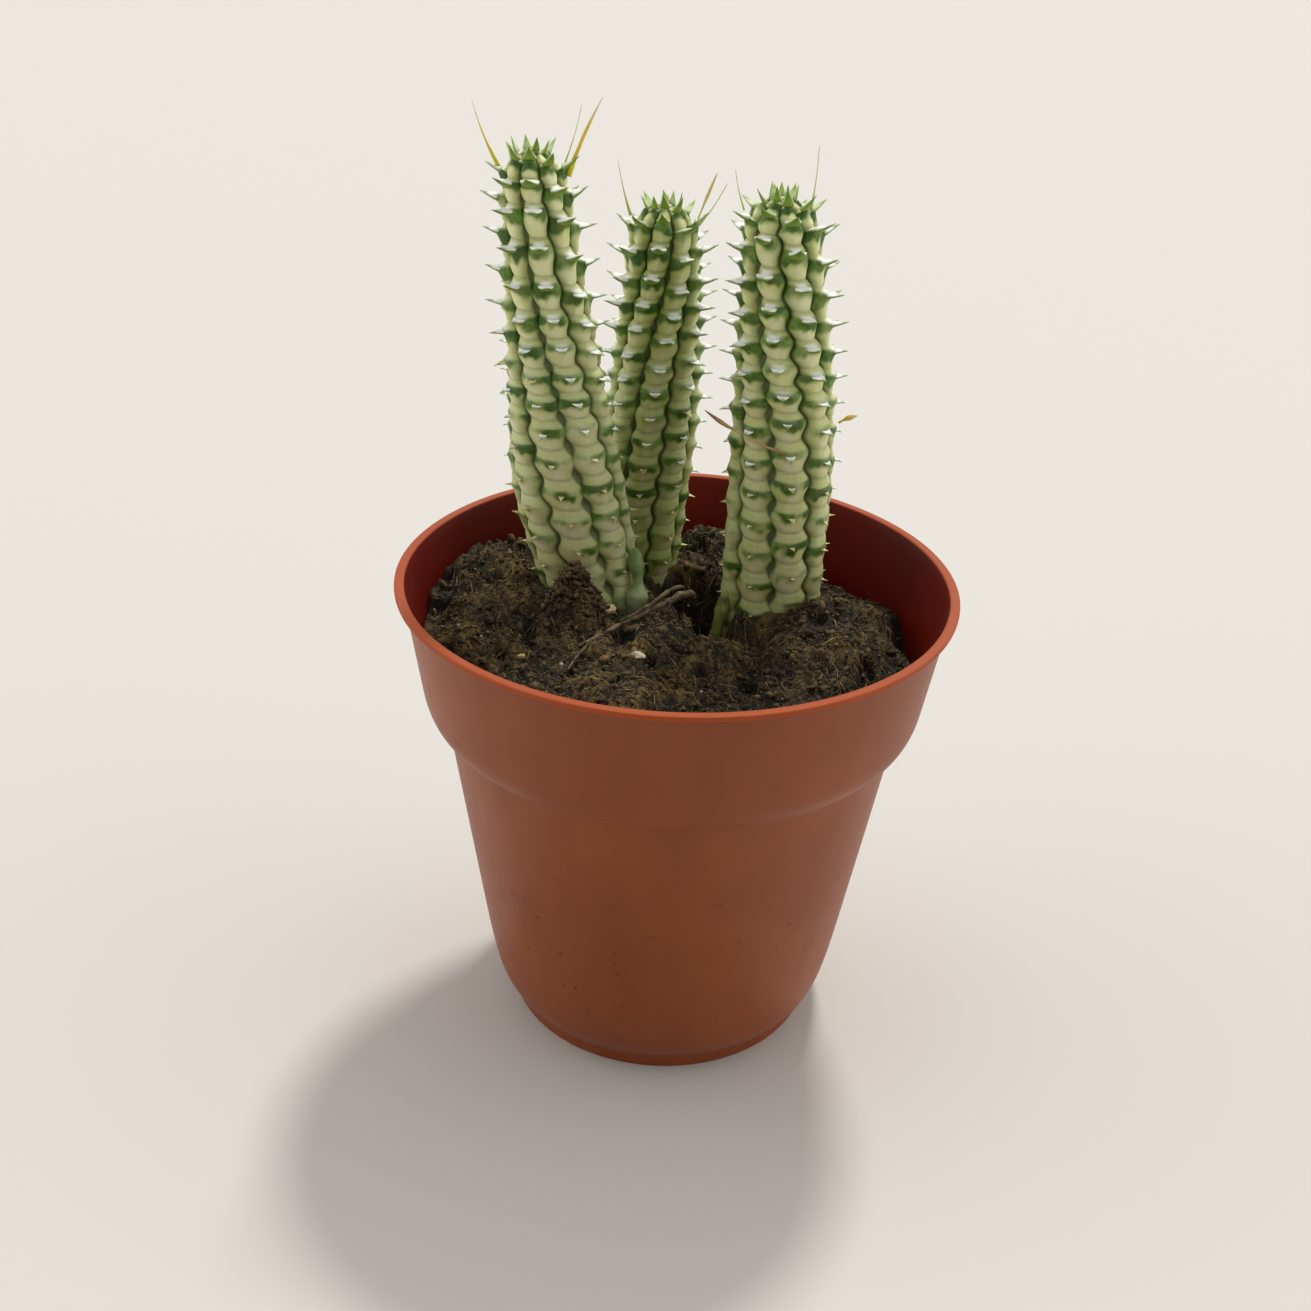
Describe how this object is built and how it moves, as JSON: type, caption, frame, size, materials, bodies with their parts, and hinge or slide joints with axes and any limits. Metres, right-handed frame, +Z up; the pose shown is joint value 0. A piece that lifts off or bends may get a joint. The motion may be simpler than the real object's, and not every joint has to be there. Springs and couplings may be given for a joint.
{
  "type": "potted euphorbia",
  "caption": "Ribbed variegated succulent stems with small leaves and golden spines, standing in dark potting soil in a terracotta-coloured plastic nursery pot.",
  "frame": {"origin": "centre of the circle on which the pot stands", "axes": "+Z up the pot's axis, +X to the right and -Y towards the front of the planting"},
  "size_m": [0.105, 0.105, 0.1755],
  "materials": {
    "pot_plastic": "thin injection-moulded polypropylene, terracotta brown, satin outside with fine scuffs, redder and glossier inside, orange along the lip",
    "peat_soil": null,
    "stem_skin": null,
    "leaf_blade": "small fleshy leaves, green below with darker tips, cream above",
    "spine": "hardened flower stalks, golden yellow at the root, pale straw at the tip",
    "dried_stalk": "withered flower stalk, brown and wrinkled",
    "twig_bark": "weathered twig, grey-brown, split bark",
    "perlite": "off-white expanded perlite grain",
    "bark_chip": "pale broken bark chips"
  },
  "bodies": {
    "root": {"bark_chip_pale": "bark_chip", "bark_chip_right": "bark_chip", "bark_chip_yellow": "bark_chip", "crown_leaf_left_1": "leaf_blade", "crown_leaf_left_2": "leaf_blade", "crown_leaf_left_3": "leaf_blade", "crown_leaf_left_4": "leaf_blade", "crown_leaf_left_5": "leaf_blade", "crown_leaf_left_6": "leaf_blade", "crown_leaf_left_7": "leaf_blade", "crown_leaf_left_8": "leaf_blade", "crown_leaf_middle_1": "leaf_blade", "crown_leaf_middle_2": "leaf_blade", "crown_leaf_middle_3": "leaf_blade", "crown_leaf_middle_4": "leaf_blade", "crown_leaf_middle_5": "leaf_blade", "crown_leaf_middle_6": "leaf_blade", "crown_leaf_middle_7": "leaf_blade", "crown_leaf_middle_8": "leaf_blade", "crown_leaf_right_1": "leaf_blade", "crown_leaf_right_2": "leaf_blade", "crown_leaf_right_3": "leaf_blade", "crown_leaf_right_4": "leaf_blade", "crown_leaf_right_5": "leaf_blade", "crown_leaf_right_6": "leaf_blade", "crown_leaf_right_7": "leaf_blade", "crown_leaf_right_8": "leaf_blade", "dried_stalk_right": "dried_stalk", "dried_stub_right": "dried_stalk", "perlite_grain": "perlite", "pot": "pot_plastic", "potting_soil": "peat_soil", "spine_left_inner": "spine", "spine_left_outer": "spine", "spine_left_thick": "spine", "spine_middle_inner": "spine", "spine_middle_low": "spine", "spine_middle_outer": "spine", "spine_right_inner": "spine", "spine_right_outer": "spine", "stem_left": "stem_skin", "stem_middle": "stem_skin", "stem_right": "stem_skin", "twig": "twig_bark"}
  },
  "joints": []
}
